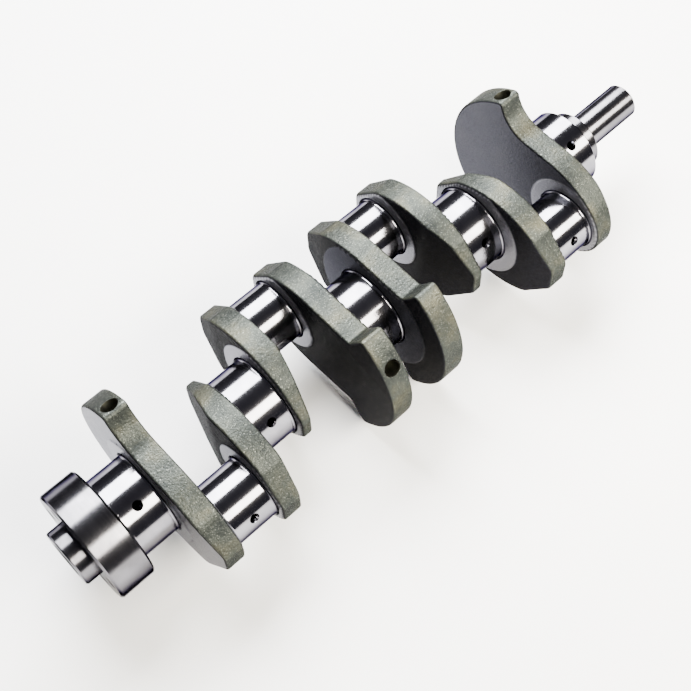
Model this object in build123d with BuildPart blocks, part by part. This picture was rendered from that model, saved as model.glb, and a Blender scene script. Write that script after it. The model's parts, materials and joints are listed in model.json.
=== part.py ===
from build123d import *
import os
from math import atan2, cos, radians, sin, tan

# Forged crankshaft for an inline four, in millimetres.
# +X runs along the main axis from the rear flange to the nose and +Z is up.  The throws lie in the XY plane:
# pins 1 and 4 at -Y, pins 2 and 3 at +Y.  The origin is the centre of the flange's rear face.
# In a web's own sketch, local X points from the main axis to that web's pin.

# Bearings and stroke
cylinder_pitch = 114.3
throw = 50.0
main_d = 70.0
main_len = 33.0
pin_d = 53.0
pin_len = 37.0
journal_fillet = 2.0
journal_chamfer = 1.2
main_count = 5
pin_sides = [-1, 1, 1, -1]

# Rear end
spigot_d = 47.5
spigot_len = 12.5
spigot_chamfer = 1.2
pilot_d = 30.0
pilot_depth = 25.0
flange_d = 95.0
flange_len = 30.5
flange_chamfer = 1.6
flange_bolt_circle = 72.0
flange_bolt_count = 6
flange_bolt_hole_d = 10.8
flange_bolt_depth = 24.0

# Front end
collar_d = 51.5
collar_len = 13.6
collar_chamfer = 1.5
nose_d = 31.2
nose_len = 60.6
nose_chamfer = 1.5
nose_bolt_hole_d = 12.2
nose_bolt_depth = 36.0

# Webs
pin_end_margin = 8.0
main_end_margin = 9.5
web_side_margin = 13.5
web_end_r = 37.0
web_edge_fillet = 2.5
cheek_height = 0.8
cheek_inset = 3.2
pin_cheek_margin = 12.0
main_cheek_margin = 13.5
thrust_cheek_margin = 23.0
pin_relief = 4.2
pin_relief_start = 60.0
main_bevel = 12.5
main_bevel_start = 4.0

# Counterweights
counterweight_r = 80.5
end_half_angle = 67.0
end_neck_start = 2.0
end_neck_rise = 1.0
end_split = 2.0
centre_half_angle = 56.0
centre_neck_drop = 2.5
centre_split = 24.0
hub_margin = 5.0
corner_fillet = 4.0
notch_fillet = 6.0

# Balance drillings, as degrees from each counterweight's centre line towards +Z
balance_d = 14.0
balance_depth = 24.0
balance_angles = {1: 60.0, 4: 33.0, 8: 60.0}

# Oil drillings, as degrees about +X from +Y at each mouth
oil_d = 6.0
oil_mouth_d = 9.0
oil_mouth_depth = 1.6
main_oil_angles = {1: 118.0, 2: 146.0, 4: 146.0, 5: 118.0}
pin_oil_lead = 25.0
oil_feeds = {1: 1, 2: 2, 3: 4, 4: 5}

# Values worked out from the ones above
web_gap = (cylinder_pitch - main_len - pin_len) / 2
plate_len = web_gap - 2 * cheek_height
web_half_width = main_d / 2 + web_side_margin
web_near = -(main_d / 2 + main_end_margin)
web_far = throw + pin_d / 2 + pin_end_margin
web_mid = (web_near + web_far) / 2
web_half_length = (web_far - web_near) / 2
web_end_x = web_half_length - web_end_r
web_flank_r = (web_end_x**2 + web_half_width**2 - web_end_r**2) / (2 * (web_half_width - web_end_r))
web_end_angle = atan2(web_flank_r - web_half_width, web_end_x)
hub_r = main_d / 2 + hub_margin
end_webs = (1, 8)
centre_webs = (4, 5)
weighted_webs = end_webs + centre_webs
thrust_main = 3


def main_start(main):
    """X of a main journal's rear end."""
    return flange_len + (main - 1) * cylinder_pitch


def pin_start(pin):
    """X of a crankpin's rear end."""
    return main_start(pin) + main_len + web_gap


def web_start(web):
    """X where a web's gap starts: odd webs follow a main journal and even ones follow a pin."""
    pin = (web + 1) // 2
    if web % 2:
        return main_start(pin) + main_len
    return pin_start(pin) + pin_len


def web_plane(web, x):
    """Sketch plane across the shaft, with local X towards the web's pin."""
    side = pin_sides[(web + 1) // 2 - 1]
    return Plane(origin=(x, 0, 0), x_dir=(0, side, 0), z_dir=(1, 0, 0))


def drilling(start, end, diameter):
    """Straight round tool from one point to another."""
    run = Vector(*end) - Vector(*start)
    return Solid.make_cylinder(diameter / 2, run.length, Plane(origin=start, z_dir=run))


def around(centre, radius, angle):
    """Point at an angle about an axis parallel to +X, measured from +Y towards +Z."""
    x, y, z = centre
    return (x, y + radius * cos(radians(angle)), z + radius * sin(radians(angle)))


def oil_mouth(centre, radius, angle):
    """Conical mouth of an oil hole, cut from just outside the journal's surface inwards."""
    outside = around(centre, radius + oil_mouth_depth / 2, angle)
    inward = Vector(*centre) - Vector(*outside)
    return Solid.make_cone(oil_mouth_d / 2, oil_d / 2, 2 * oil_mouth_depth, Plane(origin=outside, z_dir=inward))


def main_centre(main):
    """Middle of a main journal."""
    return (main_start(main) + main_len / 2, 0, 0)


def pin_centre(pin):
    """Middle of a crankpin."""
    return (pin_start(pin) + pin_len / 2, pin_sides[pin - 1] * throw, 0)


def gallery(pin):
    """Hidden oil passage from the main journal that feeds a pin to the middle of that pin."""
    return drilling(main_centre(oil_feeds[pin]), pin_centre(pin), oil_d)


def journal_profile(start, length, diameter, free_front=False):
    """Half profile of a ground journal: a fillet at each end, or a chamfer at a front end that meets no web."""
    r = diameter / 2
    f = journal_fillet
    end = start + length
    front = (end, r - journal_chamfer) if free_front else (end, r + f)
    front_run = journal_chamfer if free_front else f
    with BuildSketch(Plane.XY) as profile:
        with BuildLine():
            Line((start, 0), (start, r + f))
            CenterArc((start + f, r + f), f, 180, 90)
            Line((start + f, r), (end - front_run, r))
            if free_front:
                Line((end - front_run, r), front)
            else:
                CenterArc((end - f, r + f), f, 270, 90)
            Line(front, (end, 0))
            Line((end, 0), (start, 0))
        make_face()
    return profile.sketch


def oval_end():
    """Pin half of a web's oval, from its widest point round the tip: a large flank arc, then a small end arc."""
    flank_centre = (web_mid, web_half_width - web_flank_r)
    half_way = (radians(90) + web_end_angle) / 2
    on_flank = []
    for a in (half_way, web_end_angle):
        on_flank.append((flank_centre[0] + web_flank_r * cos(a), flank_centre[1] + web_flank_r * sin(a)))
    with BuildLine() as end:
        ThreePointArc((web_mid, web_half_width), *on_flank)
        ThreePointArc(on_flank[1], (web_far, 0), (on_flank[1][0], -on_flank[1][1]))
        ThreePointArc((web_mid, -web_half_width), *[(x, -y) for x, y in on_flank])
    return end.line


def oval_outline():
    """Outline of a web without a counterweight."""
    pin_end = oval_end()
    with BuildSketch() as outline:
        with BuildLine():
            add(pin_end)
            mirror(pin_end, about=Plane.YZ.offset(web_mid))
        make_face()
    return outline.sketch


def weighted_outline(web):
    """Oval outline with a counterweight sector behind it, its corners and stepped notches rounded."""
    shoulder = (web_mid, web_half_width)
    if web in end_webs:
        angle = radians(end_half_angle)
        neck = (-end_neck_start, web_half_width + end_neck_rise)
    else:
        angle = radians(centre_half_angle)
        neck_half = web_half_width - centre_neck_drop
        neck = (-neck_half / tan(angle), neck_half)
    corner = (-counterweight_r * cos(angle), counterweight_r * sin(angle))
    pin_end = oval_end()
    with BuildSketch() as outline:
        with BuildLine():
            Line(shoulder, neck)
            if web in end_webs:
                TangentArc(neck, corner, tangent=(-1, 0))
            else:
                Line(neck, corner)
            mirror(about=Plane.XZ)
            ThreePointArc(corner, (-counterweight_r, 0), (corner[0], -corner[1]))
            add(pin_end)
        make_face()
        fillet(outline.vertices().group_by(Axis.X)[0], radius=corner_fillet)
        if web in centre_webs:
            notches = [v for v in outline.vertices() if abs(v.X - neck[0]) < 0.01]
            fillet(notches, radius=notch_fillet)
    return outline.sketch


def counterweight_area(web):
    """Area behind the hub that belongs to the counterweight."""
    split = end_split if web in end_webs else centre_split
    with BuildSketch() as area:
        with Locations((-split, 0)):
            Rectangle(2 * counterweight_r, 4 * counterweight_r, align=(Align.MAX, Align.CENTER))
        Circle(hub_r, mode=Mode.SUBTRACT)
    return area.sketch


def cheek_sizes(web):
    """Centres, radii and sides of the two raised cheeks: the main one and the pin one."""
    pin = (web + 1) // 2
    main = pin if web % 2 else pin + 1
    margin = thrust_cheek_margin if main == thrust_main else main_cheek_margin
    main_first = bool(web % 2)
    return [
        (0, main_d / 2 + margin, main_first),
        (throw, pin_d / 2 + pin_cheek_margin, not main_first),
    ]


def face_bevel(web, on_main_side, run_out, tip, depth):
    """Prism that bevels one face of a plate: nothing at run_out and the depth at the tip, along the throw."""
    side = pin_sides[(web + 1) // 2 - 1]
    at_rear = bool(web % 2) == on_main_side
    face = web_start(web) + cheek_height + (0 if at_rear else plate_len)
    inward = 1 if at_rear else -1
    reach = tip - run_out
    corners = [
        (face - inward * depth / 10, side * (run_out - reach / 10)),
        (face + inward * 2 * depth, side * (run_out + 2 * reach)),
        (face - inward * depth, side * (run_out + 2 * reach)),
    ]
    with BuildPart() as prism:
        with BuildSketch(Plane.XY):
            with BuildLine():
                Polyline(*corners, close=True)
            make_face()
        extrude(amount=2 * web_half_width, both=True)
    return prism.part


def forge_web(web, outline):
    """Whole forged web: a plate with rounded rims and bevelled ends, and a raised cheek round each journal."""
    start = web_start(web)
    with BuildPart() as forging:
        with BuildSketch(web_plane(web, start + cheek_height)):
            add(outline)
        extrude(amount=plate_len)
        rims = [e for e in forging.edges() if e.bounding_box().size.X < 0.01]
        fillet(rims, radius=web_edge_fillet)
        add(face_bevel(web, True, pin_relief_start, web_far, pin_relief), mode=Mode.SUBTRACT)
        if web not in weighted_webs:
            add(face_bevel(web, False, main_bevel_start, web_near, main_bevel), mode=Mode.SUBTRACT)
        for place, radius, at_rear in cheek_sizes(web):
            x = start if at_rear else start + cheek_height + plate_len
            with BuildSketch(web_plane(web, x)):
                add(offset(outline, amount=-cheek_inset, mode=Mode.PRIVATE))
                with Locations((place, 0)):
                    Circle(radius, mode=Mode.INTERSECT)
            extrude(amount=cheek_height)
    return forging.part


def counterweight_tool(web):
    """Block that holds the counterweight's share of a web."""
    with BuildPart() as tool:
        with BuildSketch(web_plane(web, web_start(web) - cheek_height)):
            add(counterweight_area(web))
        extrude(amount=web_gap + 2 * cheek_height)
    return tool.part


os.makedirs("parts", exist_ok=True)

# Rear spigot with its pilot bore
with BuildPart() as rear_spigot:
    with BuildSketch(Plane.YZ.offset(-spigot_len)):
        Circle(spigot_d / 2)
    extrude(amount=spigot_len)
    rear_edge = rear_spigot.edges().filter_by(GeomType.CIRCLE).group_by(Axis.X)[0]
    chamfer(rear_edge, length=spigot_chamfer)
    with BuildSketch(Plane.YZ.offset(-spigot_len)):
        Circle(pilot_d / 2)
    extrude(amount=spigot_len, mode=Mode.SUBTRACT)
rear_spigot.part.label = "rear_spigot"
export_step(rear_spigot.part, "parts/rear_spigot.step")

# Rear flange with the tapped flywheel holes and the rest of the pilot bore
with BuildPart() as rear_flange:
    with BuildSketch(Plane.YZ):
        Circle(flange_d / 2)
    extrude(amount=flange_len)
    chamfer(rear_flange.edges().filter_by(GeomType.CIRCLE), length=flange_chamfer)
    with BuildSketch(Plane.YZ):
        Circle(pilot_d / 2)
    extrude(amount=pilot_depth - spigot_len, mode=Mode.SUBTRACT)
    with BuildSketch(Plane.YZ):
        with PolarLocations(flange_bolt_circle / 2, flange_bolt_count):
            Circle(flange_bolt_hole_d / 2)
    extrude(amount=flange_bolt_depth, mode=Mode.SUBTRACT)
rear_flange.part.label = "rear_flange"
export_step(rear_flange.part, "parts/rear_flange.step")

# Main journals
for main in range(1, main_count + 1):
    with BuildPart() as main_journal:
        revolve(journal_profile(main_start(main), main_len, main_d, main == main_count), axis=Axis.X)
        if main in main_oil_angles:
            mouth = around(main_centre(main), main_d / 2 + oil_d, main_oil_angles[main])
            add(drilling(mouth, main_centre(main), oil_d), mode=Mode.SUBTRACT)
            add(oil_mouth(main_centre(main), main_d / 2, main_oil_angles[main]), mode=Mode.SUBTRACT)
        for pin, feed in oil_feeds.items():
            if feed == main:
                add(gallery(pin), mode=Mode.SUBTRACT)
    main_journal.part.label = f"main_journal_{main}"
    export_step(main_journal.part, f"parts/main_journal_{main}.step")

# Crankpins
for pin, side in enumerate(pin_sides, start=1):
    pin_oil_angle = (180 - pin_oil_lead) if side < 0 else -pin_oil_lead
    with BuildPart() as crankpin:
        with Locations((0, side * throw, 0)):
            add(revolve(journal_profile(pin_start(pin), pin_len, pin_d), axis=Axis.X, mode=Mode.PRIVATE))
        mouth = around(pin_centre(pin), pin_d / 2 + oil_d, pin_oil_angle)
        add(drilling(mouth, pin_centre(pin), oil_d), mode=Mode.SUBTRACT)
        add(oil_mouth(pin_centre(pin), pin_d / 2, pin_oil_angle), mode=Mode.SUBTRACT)
        add(gallery(pin), mode=Mode.SUBTRACT)
    crankpin.part.label = f"crankpin_{pin}"
    export_step(crankpin.part, f"parts/crankpin_{pin}.step")

# Webs, and the counterweight sector of each weighted web
for web in range(1, 2 * len(pin_sides) + 1):
    pin = (web + 1) // 2
    feed_web = 2 * pin - 1 if oil_feeds[pin] == pin else 2 * pin
    forging = forge_web(web, weighted_outline(web) if web in weighted_webs else oval_outline())
    with BuildPart() as web_part:
        add(forging)
        if web in weighted_webs:
            add(counterweight_tool(web), mode=Mode.SUBTRACT)
        if web == feed_web:
            add(gallery(pin), mode=Mode.SUBTRACT)
    web_part.part.label = f"web_{web}"
    export_step(web_part.part, f"parts/web_{web}.step")
    if web not in weighted_webs:
        continue
    with BuildPart() as counterweight:
        add(forging)
        add(counterweight_tool(web), mode=Mode.INTERSECT)
        if web in balance_angles:
            lean = balance_angles[web]
            angle = 180 - lean if pin_sides[pin - 1] > 0 else lean
            middle = (web_start(web) + web_gap / 2, 0, 0)
            mouth = around(middle, counterweight_r + balance_d, angle)
            floor = around(middle, counterweight_r - balance_depth, angle)
            add(drilling(mouth, floor, balance_d), mode=Mode.SUBTRACT)
    counterweight.part.label = f"counterweight_{web}"
    export_step(counterweight.part, f"parts/counterweight_{web}.step")

# Front collar and nose
front = main_start(main_count) + main_len
with BuildPart() as nose_collar:
    with BuildSketch(Plane.YZ.offset(front)):
        Circle(collar_d / 2)
    extrude(amount=collar_len)
    front_edge = nose_collar.edges().filter_by(GeomType.CIRCLE).group_by(Axis.X)[-1]
    chamfer(front_edge, length=collar_chamfer)
nose_collar.part.label = "nose_collar"
export_step(nose_collar.part, "parts/nose_collar.step")

with BuildPart() as nose_shaft:
    with BuildSketch(Plane.YZ.offset(front + collar_len)):
        Circle(nose_d / 2)
    extrude(amount=nose_len)
    front_edge = nose_shaft.edges().filter_by(GeomType.CIRCLE).group_by(Axis.X)[-1]
    chamfer(front_edge, length=nose_chamfer)
    with BuildSketch(Plane.YZ.offset(front + collar_len + nose_len)):
        Circle(nose_bolt_hole_d / 2)
    extrude(amount=-nose_bolt_depth, mode=Mode.SUBTRACT)
nose_shaft.part.label = "nose_shaft"
export_step(nose_shaft.part, "parts/nose_shaft.step")
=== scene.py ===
import json
import math

import bpy
import numpy as np
from mathutils import Matrix, Vector


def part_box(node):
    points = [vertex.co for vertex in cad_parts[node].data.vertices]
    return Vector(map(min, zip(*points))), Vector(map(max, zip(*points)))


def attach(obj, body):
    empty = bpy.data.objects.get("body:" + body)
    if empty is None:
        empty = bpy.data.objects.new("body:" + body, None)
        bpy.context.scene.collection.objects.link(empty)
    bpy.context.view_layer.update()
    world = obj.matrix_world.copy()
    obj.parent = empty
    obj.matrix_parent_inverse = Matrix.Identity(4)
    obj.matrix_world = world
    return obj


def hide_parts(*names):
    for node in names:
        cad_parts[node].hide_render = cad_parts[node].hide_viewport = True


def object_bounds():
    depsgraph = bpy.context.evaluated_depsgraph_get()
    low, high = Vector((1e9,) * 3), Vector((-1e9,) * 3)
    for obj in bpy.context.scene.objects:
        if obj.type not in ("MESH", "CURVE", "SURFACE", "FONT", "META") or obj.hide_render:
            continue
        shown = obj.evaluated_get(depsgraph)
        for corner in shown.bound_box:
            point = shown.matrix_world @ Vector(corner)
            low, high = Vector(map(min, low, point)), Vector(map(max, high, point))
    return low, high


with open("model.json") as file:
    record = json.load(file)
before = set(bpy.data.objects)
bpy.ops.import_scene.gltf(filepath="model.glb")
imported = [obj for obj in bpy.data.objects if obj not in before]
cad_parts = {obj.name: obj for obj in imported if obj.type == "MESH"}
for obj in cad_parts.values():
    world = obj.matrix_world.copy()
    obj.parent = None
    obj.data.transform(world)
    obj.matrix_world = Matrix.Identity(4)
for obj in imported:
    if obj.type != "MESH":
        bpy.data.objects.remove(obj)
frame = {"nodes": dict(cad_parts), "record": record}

# A bare forged crankshaft.  The ground journals, pins, flange, collar and nose keep their machined solids.
# Each web and its counterweight are one as-forged surface here, with rounded rims and raised cheeks.
# +X runs from the flange to the nose, +Z is up, and all lengths are in metres.

CAD_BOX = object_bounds()
MM = 0.001
FLOOR_GAP = 0.5 * MM

# Side of the axis, along Y, on which each crankpin lies.
PIN_SIDES = (-1, 1, 1, -1)

# Webs with a counterweight, those at the shaft's ends, and the one whose pin tip has no flats.
WEIGHTED_WEBS = (1, 4, 5, 8)
END_WEBS = (1, 8)
ROUND_TIPPED = 8

# Height of each balance drilling above the plane of the throws, in degrees, by web.
BALANCE_LEAN = {1: 60.0, 4: 33.0, 8: 60.0}


# ---------------------------------------------------------------- sizes read from the frame

def low_high(node):
    """Corners of a CAD node as two arrays."""
    low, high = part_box(node)
    return np.array(low), np.array(high)


def journal_radius(mount_name):
    """Ground radius of a journal, from its mount."""
    for mount in frame["record"]["mounts"]:
        if mount["name"] == mount_name:
            return mount["dims"]["r_mm"] * MM
    raise KeyError(mount_name)


MAIN_R = journal_radius("main_bearing_1")
PIN_R = journal_radius("big_end_bearing_1")
PIN_LOW, PIN_HIGH = low_high("crankpin_1")
THROW = -float(PIN_LOW[1] + PIN_HIGH[1]) / 2
WEB_LOW, WEB_HIGH = low_high("web_2")
HALF_WIDTH = float(WEB_HIGH[2])
WEB_FAR = float(-WEB_LOW[1])
WEB_NEAR = float(-WEB_HIGH[1])
WEB_MID = (WEB_FAR + WEB_NEAR) / 2
WEIGHT_R = float(low_high("counterweight_1")[1][1])

# Sizes that the frame doesn't carry: they repeat the part's own.
CHEEK_HEIGHT = 0.8 * MM
PIN_RELIEF = 4.2 * MM
PIN_RELIEF_START = 60 * MM
MAIN_BEVEL = 12.5 * MM
MAIN_BEVEL_START = 4 * MM
END_R = 37 * MM
NECK_RISE = 1.0 * MM
NECK_START = 2.0 * MM
NECK_DROP = 2.5 * MM
CORNER_R = 4.0 * MM
NOTCH_R = 6.0 * MM
END_HALF_ANGLE = math.radians(67)
CENTRE_HALF_ANGLE = math.radians(56)
BALANCE_R = 7.0 * MM
BALANCE_DEPTH = 24 * MM
BALANCE_CLEAR = 10 * MM
PIN_CHEEK_R = PIN_R + 12 * MM
MAIN_CHEEK_R = MAIN_R + 13.5 * MM
THRUST_CHEEK_R = MAIN_R + 23 * MM

# Sizes of the as-forged surface: rounding of the rims and bevels, each tip flat as (angle, depth), and how
# far from the counterweight's corner the sweep of an end web stops.
RIM_R = 2.0 * MM
CREASE = 5 * MM
TIP_FLATS = ((0.0, 1.0 * MM), (math.radians(42), 2.4 * MM))
SWEEP_TRIM = 1.6 * CORNER_R

# Width of the step up to a cheek, width of the scale left along a web's edge, place along the throw of the
# middle of a weighted web's rings, and slope of the drill's point.
CHEEK_STEP = 0.8 * MM
CHEEK_MARGIN = 1.6 * MM
RING_MIDDLE = -20 * MM
DRILL_POINT = math.radians(31)

# Width of one feature of each pattern on the steel and the paper.
PATCH_WIDTH = 26.3 * MM
GRAIN_WIDTH = 1.923 * MM
DIMPLE_WIDTH = 1.613 * MM
FLECK_WIDTH = 0.9091 * MM
SMEAR_WIDTH = 16.67 * MM
LINE_LENGTH = 166.7 * MM
MOTTLE_WIDTH = 333 * MM

# Points round a web's outline, and rings on each face, on each rounded edge and on the flank.
AROUND = 480
FACE_RINGS = 60
TURN_RINGS = 7
FLANK_RINGS = 10

# Main journal whose cheeks take the thrust bearing, and so are wider.
THRUST_MAIN = 3

# How far each milled face has lost its scale, from 0 to 1.
CHEEK_CUT = 0.68
# The thrust cheeks keep more of the scale than the others: painted shade for the shadow that the next
# counterweight casts on them.
THRUST_CUT_AND_SHADE = 0.25
END_CUT = {1: 0.6, 8: 0.2}


# ---------------------------------------------------------------- colour and node helpers

def linear(hex_colour):
    """sRGB hex, such as "8c8f86", to a linear RGBA tuple."""
    channels = [int(hex_colour[k:k + 2], 16) / 255 for k in (0, 2, 4)]
    return tuple(c / 12.92 if c <= 0.04045 else ((c + 0.055) / 1.055) ** 2.4 for c in channels) + (1.0,)


def add_node(tree, kind, links=(), stops=(), **settings):
    """Adds a node with its settings and links.  A setting is a property of the node or one of its sockets, a
    link is (socket it comes from, input it goes to), and a stop is (place, hex colour or grey) on a ramp."""
    node = tree.nodes.new(kind)
    for name, value in settings.items():
        if name in dir(node):
            setattr(node, name, value)
        else:
            node.inputs[name.replace("_", " ").title()].default_value = value
    for source, target in links:
        tree.links.new(source, node.inputs[target])
    if stops:
        elements = node.color_ramp.elements
        while len(elements) < len(stops):
            elements.new(0.5)
        for element, (place, colour) in zip(elements, stops):
            element.position = place
            element.color = linear(colour) if isinstance(colour, str) else (colour, colour, colour, 1.0)
    return node


def new_material(name):
    """Empty node material with a Principled shader, and its Object coordinates."""
    material = bpy.data.materials.new(name)
    material.use_nodes = True
    tree = material.node_tree
    shader = tree.nodes["Principled BSDF"]
    coords = tree.nodes.new("ShaderNodeTexCoord").outputs["Object"]
    return material, tree, shader, coords


# ---------------------------------------------------------------- materials

def forged_steel():
    """Medium-carbon steel, drop forged and shot blasted: a dull grey-green scale, peened all over with
    shallow dimples, with paler flecks where the shot has cut through and browner patches.  The dimples are
    drawn about 1.6 mm across, coarser than real ones, so that they show.
    The broad faces across the shaft are darkened towards blue-black by the way they face: painted shade and
    painted reflection.
    The machined attribute, 0 on the scale and nearer 1 the more of it a cutter has taken off, turns the scale
    to milled steel."""
    material, tree, shader, coords = new_material("forged_steel_shot_blasted")
    patches = add_node(tree, "ShaderNodeTexNoise", [(coords, "Vector")],
                       Scale=1 / PATCH_WIDTH, Detail=4.0, Roughness=0.55)
    grain = add_node(tree, "ShaderNodeTexNoise", [(coords, "Vector")],
                     Scale=1 / GRAIN_WIDTH, Detail=4.0, Roughness=0.65)
    flecks = add_node(tree, "ShaderNodeTexNoise", [(coords, "Vector")],
                      Scale=1 / FLECK_WIDTH, Detail=3.0, Roughness=0.6)
    tone = add_node(tree, "ShaderNodeValToRGB", [(patches.outputs["Fac"], "Fac")],
                    stops=[(0.30, "2a2d2c"), (0.50, "393c38"), (0.72, "49483c")])
    speck = add_node(tree, "ShaderNodeValToRGB", [(grain.outputs["Fac"], "Fac")],
                     stops=[(0.34, 0.38), (0.52, 0.5), (0.68, 0.62)])
    mixed = add_node(tree, "ShaderNodeMixRGB",
                     [(tone.outputs["Color"], "Color1"), (speck.outputs["Color"], "Color2")],
                     blend_type="OVERLAY", Fac=0.85)
    bright = add_node(tree, "ShaderNodeValToRGB", [(flecks.outputs["Fac"], "Fac")],
                      stops=[(0.59, 0.0), (0.74, 0.65)])
    pale = add_node(tree, "ShaderNodeMixRGB",
                    [(bright.outputs["Color"], "Fac"), (mixed.outputs["Color"], "Color1")],
                    Color2=linear("989b91"))
    # Blue-black scale colour. The mask below lays it on the faces across the shaft by the way they face, as
    # painted shade and painted reflection.
    scale = add_node(tree, "ShaderNodeValToRGB", [(grain.outputs["Fac"], "Fac")],
                     stops=[(0.35, "0b0a12"), (0.62, "1d1c25")])
    # Painted shade: the more squarely a surface faces along the shaft, the more of the blue-black it takes.
    geometry = add_node(tree, "ShaderNodeNewGeometry")
    facing = add_node(tree, "ShaderNodeSeparateXYZ", [(geometry.outputs["Normal"], "Vector")])
    broad = add_node(tree, "ShaderNodeMath", [(facing.outputs["X"], "Value")], operation="ABSOLUTE")
    face_shade_mask = add_node(tree, "ShaderNodeMapRange", [(broad.outputs["Value"], "Value")],
                       From_Min=0.6, From_Max=0.95, To_Min=0.0, To_Max=0.9)
    shaded_scale_mix = add_node(tree, "ShaderNodeMixRGB",
                      [(face_shade_mask.outputs["Result"], "Fac"), (pale.outputs["Color"], "Color1"),
                       (scale.outputs["Color"], "Color2")])
    machined = add_node(tree, "ShaderNodeAttribute", attribute_name="machined")
    cheek = add_node(tree, "ShaderNodeMixRGB",
                     [(machined.outputs["Fac"], "Fac"), (shaded_scale_mix.outputs["Color"], "Color1")],
                     Color2=linear("77777d"))
    tree.links.new(cheek.outputs["Color"], shader.inputs["Base Color"])
    edge_tint = add_node(tree, "ShaderNodeMixRGB", [(machined.outputs["Fac"], "Fac")],
                         Color1=linear("55565a"), Color2=linear("f0f0f4"))
    tree.links.new(edge_tint.outputs["Color"], shader.inputs["Specular Tint"])
    rough = add_node(tree, "ShaderNodeMapRange", [(grain.outputs["Fac"], "Value")],
                     From_Min=0.3, From_Max=0.7, To_Min=0.36, To_Max=0.58)
    milled = add_node(tree, "ShaderNodeMapRange",
                      [(machined.outputs["Fac"], "Value"), (rough.outputs["Result"], "To Min")], To_Max=0.24)
    tree.links.new(milled.outputs["Result"], shader.inputs["Roughness"])
    dimples = add_node(tree, "ShaderNodeTexVoronoi", [(coords, "Vector")],
                       feature="SMOOTH_F1", Scale=1 / DIMPLE_WIDTH)
    coarse = add_node(tree, "ShaderNodeBump", [(patches.outputs["Fac"], "Height")],
                      Strength=0.25, Distance=2 * MM)
    peened = add_node(tree, "ShaderNodeBump",
                      [(dimples.outputs["Distance"], "Height"), (coarse.outputs["Normal"], "Normal")],
                      Strength=0.45, Distance=0.6 * MM)
    fine = add_node(tree, "ShaderNodeBump",
                    [(grain.outputs["Fac"], "Height"), (peened.outputs["Normal"], "Normal")],
                    Strength=0.60, Distance=0.6 * MM)
    tree.links.new(fine.outputs["Normal"], shader.inputs["Normal"])
    shader.inputs["Metallic"].default_value = 0.85
    return material


def ground_steel(name, roughness, lines_per_mm, colours, centre_y=0.0, radius=1.0):
    """Steel ground between centres and lapped, or turned: bright, with fine lines round the axis.
    The lines run round, so the pattern is stretched thin along X and wide round the journal.  Real lines are
    finer still, and are drawn this coarse so that they show.
    Beyond the ground radius, in the end fillets, the wheel has left it darker and rougher.  A piece without
    such fillets leaves the radius at 1 m, out of its reach."""
    material, tree, shader, coords = new_material(name)
    lay = add_node(tree, "ShaderNodeMapping", [(coords, "Vector")], Location=(0.0, -centre_y, 0.0),
                   Scale=(lines_per_mm / MM, 1 / LINE_LENGTH, 1 / LINE_LENGTH))
    lines = add_node(tree, "ShaderNodeTexNoise", [(lay.outputs["Vector"], "Vector")],
                     Scale=1.0, Detail=3.0, Roughness=0.6)
    smear = add_node(tree, "ShaderNodeTexNoise", [(coords, "Vector")],
                     Scale=1 / SMEAR_WIDTH, Detail=3.0, Roughness=0.5)
    tone = add_node(tree, "ShaderNodeValToRGB", [(smear.outputs["Fac"], "Fac")],
                    stops=[(0.30, colours[0]), (0.70, colours[1])])
    section = add_node(tree, "ShaderNodeMapping", [(coords, "Vector")], Location=(0.0, -centre_y, 0.0),
                       Scale=(0.0, 1.0, 1.0))
    reach = add_node(tree, "ShaderNodeVectorMath", [(section.outputs["Vector"], "Vector")],
                     operation="LENGTH")
    fillet = add_node(tree, "ShaderNodeMapRange", [(reach.outputs["Value"], "Value")],
                      From_Min=radius + 0.1 * MM, From_Max=radius + 0.7 * MM)
    dull = add_node(tree, "ShaderNodeMixRGB",
                    [(fillet.outputs["Result"], "Fac"), (tone.outputs["Color"], "Color1")],
                    Color2=linear("2b2a30"))
    tree.links.new(dull.outputs["Color"], shader.inputs["Base Color"])
    rough = add_node(tree, "ShaderNodeMapRange", [(lines.outputs["Fac"], "Value")],
                     From_Min=0.3, From_Max=0.7, To_Min=roughness * 0.8, To_Max=roughness * 1.25)
    coarse = add_node(tree, "ShaderNodeMapRange",
                      [(fillet.outputs["Result"], "Value"), (rough.outputs["Result"], "To Min")], To_Max=0.4)
    tree.links.new(coarse.outputs["Result"], shader.inputs["Roughness"])
    bump = add_node(tree, "ShaderNodeBump", [(lines.outputs["Fac"], "Height")],
                    Strength=0.10, Distance=0.1 * MM)
    tree.links.new(bump.outputs["Normal"], shader.inputs["Normal"])
    shader.inputs["Metallic"].default_value = 1.0
    shader.inputs["Specular Tint"].default_value = linear("66656b")
    return material


def paper_floor():
    """Matt white studio paper, with a faint mottle."""
    material, tree, shader, coords = new_material("studio_paper")
    mottle = add_node(tree, "ShaderNodeTexNoise", [(coords, "Vector")], Scale=1 / MOTTLE_WIDTH, Detail=2.0)
    tone = add_node(tree, "ShaderNodeValToRGB", [(mottle.outputs["Fac"], "Fac")],
                    stops=[(0.3, "fafafa"), (0.7, "ffffff")])
    tree.links.new(tone.outputs["Color"], shader.inputs["Base Color"])
    shader.inputs["Roughness"].default_value = 0.9
    return material


# ---------------------------------------------------------------- web outlines

def arc(centre, radius, start, end, count):
    """Points on a circular arc: centre + radius (cos t, sin t), t from start to end."""
    t = np.linspace(start, end, count)
    return np.stack([centre[0] + radius * np.cos(t), centre[1] + radius * np.sin(t)], axis=1)


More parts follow.
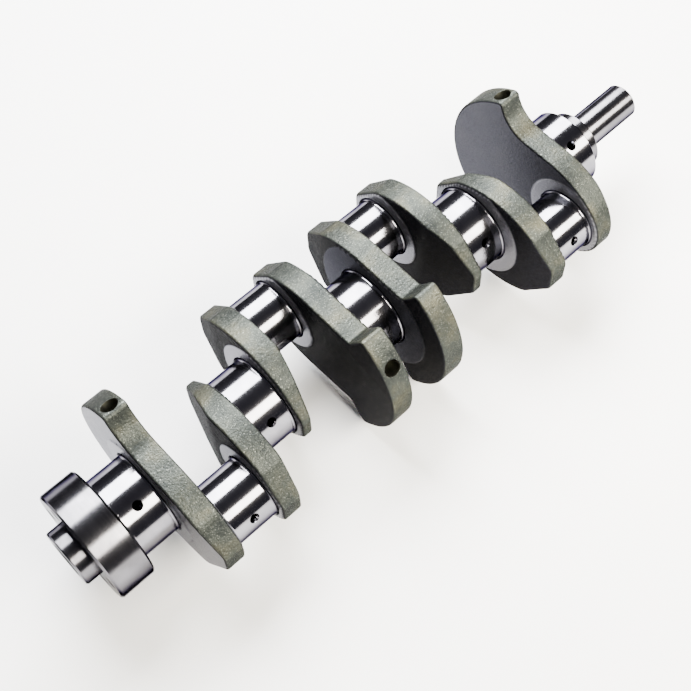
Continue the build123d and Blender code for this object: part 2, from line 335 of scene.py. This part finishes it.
def rounded(before, corner, after, radius, count=9):
    """Fillet between two straight edges: the circle that touches both, at radius / tan(half the corner's
    angle) from the corner."""
    before, corner, after = (np.array(p, float) for p in (before, corner, after))
    u = (before - corner) / np.linalg.norm(before - corner)
    v = (after - corner) / np.linalg.norm(after - corner)
    half = math.acos(float(np.clip(u @ v, -1, 1))) / 2
    middle = (u + v) / np.linalg.norm(u + v)
    centre = corner + middle * radius / math.sin(half)
    first = corner + u * radius / math.tan(half) - centre
    last = corner + v * radius / math.tan(half) - centre
    a = math.atan2(first[1], first[0])
    turn = (math.atan2(last[1], last[0]) - a + math.pi) % (2 * math.pi) - math.pi
    return arc(centre, radius, a, a + turn, count)


def oval_quarter(flats):
    """Upper pin-side quarter of the oval, from the tip to the widest point: an end arc, then the flank arc
    tangent to it.  The tip carries forged flats: where p . n passes a flat's plane, p is drawn back to it."""
    end_x = (WEB_FAR - WEB_NEAR) / 2 - END_R
    flank_r = (end_x ** 2 + HALF_WIDTH ** 2 - END_R ** 2) / (2 * (HALF_WIDTH - END_R))
    joint = math.atan2(flank_r - HALF_WIDTH, end_x)
    end = arc((WEB_MID + end_x, 0), END_R, 0, joint, count=40)
    flank = arc((WEB_MID, HALF_WIDTH - flank_r), flank_r, joint, math.pi / 2, count=40)
    points = np.concatenate([end, flank[1:]])
    for angle, cut in flats:
        normal = np.array([math.cos(angle), math.sin(angle)])
        past = points @ normal - ((WEB_MID + end_x) * normal[0] + END_R - cut)
        points = points - np.clip(past, 0, None)[:, None] * normal
    return points


def upper_outline(web):
    """Upper half of a web's outline, from the pin tip over the top to the far side, as points (along the
    throw, up).  A plain web is the oval.  On an end web a sweep arc, level at the neck, rises to the
    counterweight's corner.  On a centre web a filleted notch leads to the corner, along a ray from the main
    axis."""
    quarter = oval_quarter(() if web == ROUND_TIPPED else TIP_FLATS)
    if web not in WEIGHTED_WEBS:
        mirrored = quarter[::-1] * (-1, 1) + (2 * WEB_MID, 0)
        return np.concatenate([quarter, mirrored[1:]])
    if web in END_WEBS:
        corner = WEIGHT_R * np.array([-math.cos(END_HALF_ANGLE), math.sin(END_HALF_ANGLE)])
        neck = np.array([-NECK_START, HALF_WIDTH + NECK_RISE])
        dx, dy = neck[0] - corner[0], corner[1] - neck[1]
        sweep_r = (dx * dx + dy * dy) / (2 * dy)
        end_turn = math.atan2(dx, sweep_r - dy)
        sweep = arc(neck + (0, sweep_r), sweep_r, -math.pi / 2, -math.pi / 2 - end_turn, count=36)
        to_corner = np.linalg.norm(sweep - corner, axis=1)
        rim = weight_rim(END_HALF_ANGLE, sweep[to_corner > SWEEP_TRIM][-1])
        sweep = sweep[to_corner > np.linalg.norm(rim[0] - corner)]
        return np.concatenate([quarter, sweep, rim])
    half = HALF_WIDTH - NECK_DROP
    notch = np.array([-half / math.tan(CENTRE_HALF_ANGLE), half])
    corner = WEIGHT_R * np.array([-math.cos(CENTRE_HALF_ANGLE), math.sin(CENTRE_HALF_ANGLE)])
    fillet = rounded(quarter[-1], notch, corner, NOTCH_R)
    return np.concatenate([quarter, fillet, weight_rim(CENTRE_HALF_ANGLE, fillet[-1])])


def weight_rim(half_angle, before):
    """Counterweight rim from its rounded corner to the centre line behind the shaft."""
    corner = WEIGHT_R * np.array([-math.cos(half_angle), math.sin(half_angle)])
    step = 2 * CORNER_R / WEIGHT_R
    along = WEIGHT_R * np.array([-math.cos(half_angle - step), math.sin(half_angle - step)])
    rounding = rounded(before, corner, along, CORNER_R)
    lean = math.atan2(rounding[-1][1], -rounding[-1][0])
    rim = arc((0, 0), WEIGHT_R, math.pi - lean, math.pi, count=60)
    return np.concatenate([rounding, rim[1:]])


def evenly_spaced(points, count):
    """The same closed line, with its points at equal steps of length."""
    closed = np.concatenate([points, points[:1]])
    length = np.concatenate([[0], np.cumsum(np.linalg.norm(np.diff(closed, axis=0), axis=1))])
    at = np.linspace(0, length[-1], count, endpoint=False)
    return np.stack([np.interp(at, length, closed[:, k]) for k in (0, 1)], axis=1)


def web_outline(web, count):
    """Closed outline of a web, evenly spaced, anticlockwise from the pin tip."""
    upper = upper_outline(web)
    lower = upper[::-1] * (1, -1)
    return evenly_spaced(np.concatenate([upper, lower[1:-1]]), count)


# ---------------------------------------------------------------- web surface

def smooth_step(value):
    """0 below 0, 1 above 1, with level ends."""
    t = np.clip(value, 0, 1)
    return t * t * (3 - 2 * t)


def outward_normals(points):
    """Unit normals of a closed anticlockwise outline, from the chord between each point's neighbours."""
    chord = np.roll(points, -1, axis=0) - np.roll(points, 1, axis=0)
    normal = np.stack([chord[:, 1], -chord[:, 0]], axis=1)
    return normal / np.linalg.norm(normal, axis=1, keepdims=True)


def bevel_depth(beyond, tip, depth):
    """Depth of a flat bevel, slope * beyond, where beyond is the distance past its run-out and the slope
    makes it reach the full depth at the tip.  Within CREASE of the run-out a parabola joins the flats."""
    slope = depth / tip
    blend = slope * (beyond + CREASE) ** 2 / (4 * CREASE)
    return np.where(beyond > CREASE, slope * beyond, np.where(beyond > -CREASE, blend, 0.0))


def web_rings(outline, inner, middle):
    """Rings of a web's surface, from the middle of the rear face to the middle of the front face.
    On a face, a ring is the inner outline shrunk towards the middle.  On the rim, rings turn a quarter
    circle, cross the flank, and turn again.  Returned with each ring's share of the way across, its depth
    below the face, and its face: -1 rear, 0 rim, 1 front."""
    scales = np.linspace(0, 1, FACE_RINGS + 1)[1:]
    turns = math.pi / 2 * np.arange(1, TURN_RINGS + 1) / TURN_RINGS
    rings = []
    for k in scales:
        rings.append((middle + (inner - middle) * k, 0.0, 0.0, -1))
    for a in turns:
        rings.append((inner + (outline - inner) * math.sin(a), 0.0, RIM_R * (1 - math.cos(a)), 0))
    for k in range(1, FLANK_RINGS):
        rings.append((outline, k / FLANK_RINGS, RIM_R, 0))
    for a in turns[::-1]:
        rings.append((inner + (outline - inner) * math.sin(a), 1.0, RIM_R * (1 - math.cos(a)), 0))
    for k in scales[::-1]:
        rings.append((middle + (inner - middle) * k, 1.0, 0.0, 1))
    grid = np.stack([ring[0] for ring in rings])
    share, depth, face = (np.array([ring[k] for ring in rings])[:, None] for k in (1, 2, 3))
    return grid, share, depth, face


def forged_web(web):
    """Closed web surface over (t, s), with t round the outline and s over the rings.
    x = (1 - f) (rear + d) + f (front - d), with f the share of the way across and d the depth below the face.
    The face towards the main journal is relieved at the pin tip, and the face towards the pin is bevelled
    behind the main journal on plain webs.  Each face rises by the cheek height inside its journal's
    circle."""
    outline = web_outline(web, AROUND)
    inner = outline - outward_normals(outline) * RIM_R
    middle = np.array([RING_MIDDLE if web in WEIGHTED_WEBS else WEB_MID, 0.0])
    grid, share, depth, face = web_rings(outline, inner, middle)
    low, high = low_high(f"web_{web}")
    centre_x = float(low[0] + high[0]) / 2
    half = float(high[0] - low[0]) / 2 - CHEEK_HEIGHT
    pin = (web + 1) // 2
    main_first = web % 2 == 1
    main = pin if main_first else pin + 1
    main_cheek = (0.0, THRUST_CHEEK_R if main == THRUST_MAIN else MAIN_CHEEK_R)
    pin_cheek = (THROW, PIN_CHEEK_R)

    along = grid[:, :, 0]
    main_side = half - bevel_depth(along - PIN_RELIEF_START, WEB_FAR - PIN_RELIEF_START, PIN_RELIEF)
    pin_side = np.full_like(along, half)
    if web not in WEIGHTED_WEBS:
        pin_side = half - bevel_depth(MAIN_BEVEL_START - along, MAIN_BEVEL_START - WEB_NEAR, MAIN_BEVEL)
    sparse = inner[::6]
    edge_gap = np.min(np.linalg.norm(grid[:, :, None, :] - sparse, axis=3), axis=2)
    sides, lifts = [], []
    for (place, radius), reach in ((main_cheek, main_side), (pin_cheek, pin_side)):
        inside = radius - np.hypot(along - place, grid[:, :, 1])
        lift = smooth_step(inside / CHEEK_STEP + 0.5) * smooth_step(edge_gap / CHEEK_MARGIN)
        # The thrust cheeks take a smaller share of the milled finish, as painted shade.
        lifts.append(lift * (THRUST_CUT_AND_SHADE if radius == THRUST_CHEEK_R else CHEEK_CUT))
        sides.append(reach + CHEEK_HEIGHT * lift * (face != 0))
    if not main_first:
        sides, lifts = sides[::-1], lifts[::-1]
    rear, front = sides
    machined = np.where(face == -1, lifts[0], np.where(face == 1, lifts[1], 0.0))
    if web in END_WEBS:
        machined = np.maximum(machined, END_CUT[web] * np.abs(face))
    x = (1 - share) * (depth - rear) + share * (front - depth)
    side = PIN_SIDES[pin - 1]
    points = np.stack([centre_x + x, side * along, grid[:, :, 1]], axis=2)
    rear_pole = points[0].mean(axis=0)
    front_pole = points[-1].mean(axis=0)
    return grid_mesh(f"forged_web_{web}", points, rear_pole, front_pole, machined, flip=side < 0)


def grid_mesh(name, points, first_pole, last_pole, machined, flip):
    """Closed mesh from rings of points with a pole at each end, and a machined value at each point."""
    ring_count, around_count = points.shape[:2]
    vertices = np.concatenate([points.reshape(-1, 3), [first_pole, last_pole]])
    r, c = np.meshgrid(np.arange(ring_count - 1), np.arange(around_count), indexing="ij")
    n = (c + 1) % around_count
    quads = np.stack([r * around_count + c, (r + 1) * around_count + c,
                      (r + 1) * around_count + n, r * around_count + n], axis=2).reshape(-1, 4)
    c = np.arange(around_count)
    n = (c + 1) % around_count
    last = (ring_count - 1) * around_count
    first_fan = np.stack([np.full(around_count, len(vertices) - 2), c, n], axis=1)
    last_fan = np.stack([np.full(around_count, len(vertices) - 1), last + n, last + c], axis=1)
    if flip:
        quads, first_fan, last_fan = quads[:, ::-1], first_fan[:, ::-1], last_fan[:, ::-1]
    mesh = bpy.data.meshes.new(name)
    mesh.from_pydata(vertices.tolist(), [], quads.tolist() + first_fan.tolist() + last_fan.tolist())
    mesh.validate()
    mesh.polygons.foreach_set("use_smooth", [True] * len(mesh.polygons))
    values = np.concatenate([machined.ravel(), [machined[0].mean(), machined[-1].mean()]])
    mesh.attributes.new("machined", "FLOAT", "POINT").data.foreach_set("value", values.astype(np.float32))
    piece = bpy.data.objects.new(name, mesh)
    bpy.context.scene.collection.objects.link(piece)
    return piece


def cut_drilling(piece, start, end, radius, hole_material):
    """Bores a straight hole with a drill point out of a piece, from outside its surface to a depth."""
    start, end = Vector(start), Vector(end)
    axis = (end - start).normalized()
    turn = axis.to_track_quat("Z", "Y").to_matrix()
    count = 48
    t = np.linspace(0, 2 * math.pi, count, endpoint=False)
    ring = np.stack([radius * np.cos(t), radius * np.sin(t), np.zeros(count)], axis=1) @ np.array(turn).T
    tip = end + axis * radius * math.tan(DRILL_POINT)
    vertices = np.concatenate([ring + np.array(start), ring + np.array(end),
                               [np.array(tip), np.array(start)]])
    faces = []
    for k in range(count):
        n = (k + 1) % count
        faces.append((k, n, count + n, count + k))
        faces.append((count + k, count + n, 2 * count))
        faces.append((n, k, 2 * count + 1))
    mesh = bpy.data.meshes.new("drill")
    mesh.from_pydata(vertices.tolist(), [], faces)
    mesh.materials.append(hole_material)
    drill = bpy.data.objects.new("drill", mesh)
    bpy.context.scene.collection.objects.link(drill)
    cut = piece.modifiers.new("drilling", "BOOLEAN")
    cut.object = drill
    cut.operation = "DIFFERENCE"
    cut.solver = "EXACT"
    cut.material_mode = "TRANSFER"
    view = bpy.context.evaluated_depsgraph_get()
    finished = bpy.data.meshes.new_from_object(piece.evaluated_get(view))
    piece.modifiers.clear()
    piece.data = finished
    bpy.data.objects.remove(drill)


def build_webs(forged, drilled):
    """All eight webs, three of them with a balance drilling in the counterweight's rim."""
    for web in range(1, 9):
        piece = forged_web(web)
        piece.data.materials.append(forged)
        if web in BALANCE_LEAN:
            lean = math.radians(BALANCE_LEAN[web])
            side = PIN_SIDES[(web + 1) // 2 - 1]
            out = np.array([0.0, -side * math.cos(lean), math.sin(lean)])
            low, high = low_high(f"web_{web}")
            middle = np.array([(low[0] + high[0]) / 2, 0, 0])
            cut_drilling(piece, middle + out * (WEIGHT_R + BALANCE_CLEAR),
                         middle + out * (WEIGHT_R - BALANCE_DEPTH), BALANCE_R, drilled)
        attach(piece, "root")
        covered = [f"web_{web}"]
        if web in WEIGHTED_WEBS:
            covered.append(f"counterweight_{web}")
        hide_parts(*covered)


def dress_ground_parts():
    """Gives each machined CAD node its ground or turned steel."""
    ground = {"roughness": 0.11, "lines_per_mm": 9.0, "colours": ("706f75", "838287")}
    finishes = {
        "main": ground_steel("ground_journal_steel", **ground, centre_y=0.0, radius=MAIN_R),
        "pin_near": ground_steel("ground_pin_steel_near", **ground, centre_y=-THROW, radius=PIN_R),
        "pin_far": ground_steel("ground_pin_steel_far", **ground, centre_y=THROW, radius=PIN_R),
        "turned": ground_steel("turned_flange_steel", roughness=0.17, lines_per_mm=5.0,
                               colours=("59585c", "6c6b6f")),
    }
    for name, node in frame["nodes"].items():
        if name.startswith(("web", "counterweight")):
            continue
        kind = "main" if name.startswith("main") else "turned"
        if name.startswith("crankpin"):
            kind = "pin_near" if PIN_SIDES[int(name[-1]) - 1] < 0 else "pin_far"
        material = finishes[kind]
        if not node.material_slots:
            node.data.materials.append(material)
        for place in node.material_slots:
            place.material = material


# ---------------------------------------------------------------- studio

def camera():
    """Camera to the flange side and above, aimed at a point level with the shaft's axis, and turned a little
    about its own axis, so that the shaft runs up to the right."""
    lens_data = bpy.data.cameras.new("camera")
    lens_data.sensor_width = 36.0
    lens_data.lens = 62.784
    lens_data.clip_start = 0.05
    holder = bpy.data.objects.new("camera", lens_data)
    stand = Vector((-44.74, -360.48, 826.23)) * MM
    aim = Vector((252.16, -11.05, 0.0)) * MM
    roll = math.radians(-3.215)
    level = (aim - stand).to_track_quat("-Z", "Y").to_matrix().to_4x4()
    holder.matrix_world = Matrix.Translation(stand) @ level @ Matrix.Rotation(roll, 4, "Z")
    bpy.context.scene.collection.objects.link(holder)
    bpy.context.scene.camera = holder


def strip_light(name, azimuth, elevation, size, power, colour):
    """Long softbox lying along the shaft, aimed at its axis.  It stands towards the nose, so that the faces
    that look towards the flange stay in shade."""
    distance = 1.3
    target = Vector((0.78, 0, 0))
    data = bpy.data.lights.new(name, "AREA")
    data.shape = "RECTANGLE"
    data.size, data.size_y = size
    data.energy = power
    data.color = colour
    lamp = bpy.data.objects.new(name, data)
    back = Vector((math.sin(azimuth) * math.cos(elevation), -math.cos(azimuth) * math.cos(elevation),
                   math.sin(elevation)))
    across = Vector((1, 0, 0))
    across = (across - back * across.dot(back)).normalized()
    up = back.cross(across)
    turn = Matrix((across, up, back)).transposed().to_4x4()
    turn.translation = target + back * distance
    lamp.matrix_world = turn
    bpy.context.scene.collection.objects.link(lamp)


def studio():
    """White paper floor under the shaft and two strip softboxes above it."""
    floor_z = float(CAD_BOX[0][2]) - FLOOR_GAP
    mesh = bpy.data.meshes.new("floor")
    reach = 3.0
    mesh.from_pydata([(-reach, -reach, floor_z), (reach, -reach, floor_z), (reach, reach, floor_z),
                      (-reach, reach, floor_z)], [], [(0, 1, 2, 3)])
    mesh.materials.append(paper_floor())
    floor = bpy.data.objects.new("floor", mesh)
    bpy.context.scene.collection.objects.link(floor)
    strip_light("upper_strip", azimuth=math.radians(180), elevation=math.radians(56), size=(1.45, 0.86),
                power=165.0, colour=(1.0, 1.0, 1.0))
    strip_light("lower_strip", azimuth=math.radians(0), elevation=math.radians(46), size=(1.45, 0.52),
                power=100.0, colour=(1.0, 0.94, 0.82))
    world = bpy.data.worlds.new("studio")
    world.use_nodes = True
    background = world.node_tree.nodes["Background"]
    background.inputs["Color"].default_value = linear("8c8a98")
    background.inputs["Strength"].default_value = 0.32
    bpy.context.scene.world = world


forged_finish = forged_steel()
drilled_finish = ground_steel("drilled_hole_steel", roughness=0.40, lines_per_mm=3.0,
                              colours=("55554c", "6e6e62"))
build_webs(forged_finish, drilled_finish)
dress_ground_parts()
camera()
studio()
